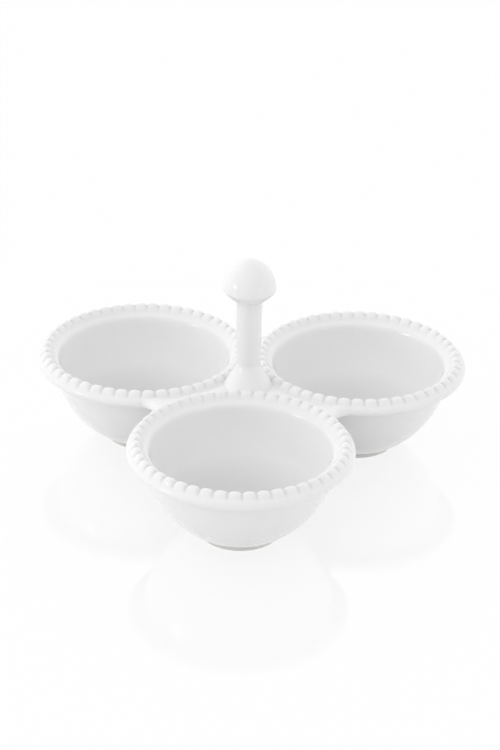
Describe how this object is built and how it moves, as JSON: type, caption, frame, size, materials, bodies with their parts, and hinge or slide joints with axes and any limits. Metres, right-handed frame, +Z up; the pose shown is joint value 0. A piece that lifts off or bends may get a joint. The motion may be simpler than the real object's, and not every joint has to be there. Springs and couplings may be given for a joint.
{
  "type": "divided serving bowl",
  "caption": "Divided serving bowl in white glazed porcelain: round deep bowls with beaded rims, joined edge to edge by a web round a central stem handle with a knob.",
  "frame": {"origin": "on the table, at the centre of the dish's footprint; the handle's axis is at x = 0, y = 17.08 mm, behind the origin, because one bowl lies in front", "axes": "+Z up along the handle; -Y towards the single front bowl; +X to the right, from the left rear bowl to the right rear bowl"},
  "size_m": [0.2362, 0.2202, 0.1236],
  "materials": {
    "glazed_porcelain": "white gloss glaze over white porcelain",
    "bare_porcelain": "unglazed, ground smooth where it stands on the table"
  },
  "bodies": {
    "root": {"front_bowl": "glazed_porcelain", "left_bowl": "glazed_porcelain", "right_bowl": "glazed_porcelain", "front_beaded_rim": "glazed_porcelain", "left_beaded_rim": "glazed_porcelain", "right_beaded_rim": "glazed_porcelain", "front_foot_ring": "bare_porcelain", "left_foot_ring": "bare_porcelain", "right_foot_ring": "bare_porcelain", "centre_web": "glazed_porcelain", "handle_stem": "glazed_porcelain", "handle_knob": "glazed_porcelain"}
  },
  "joints": []
}
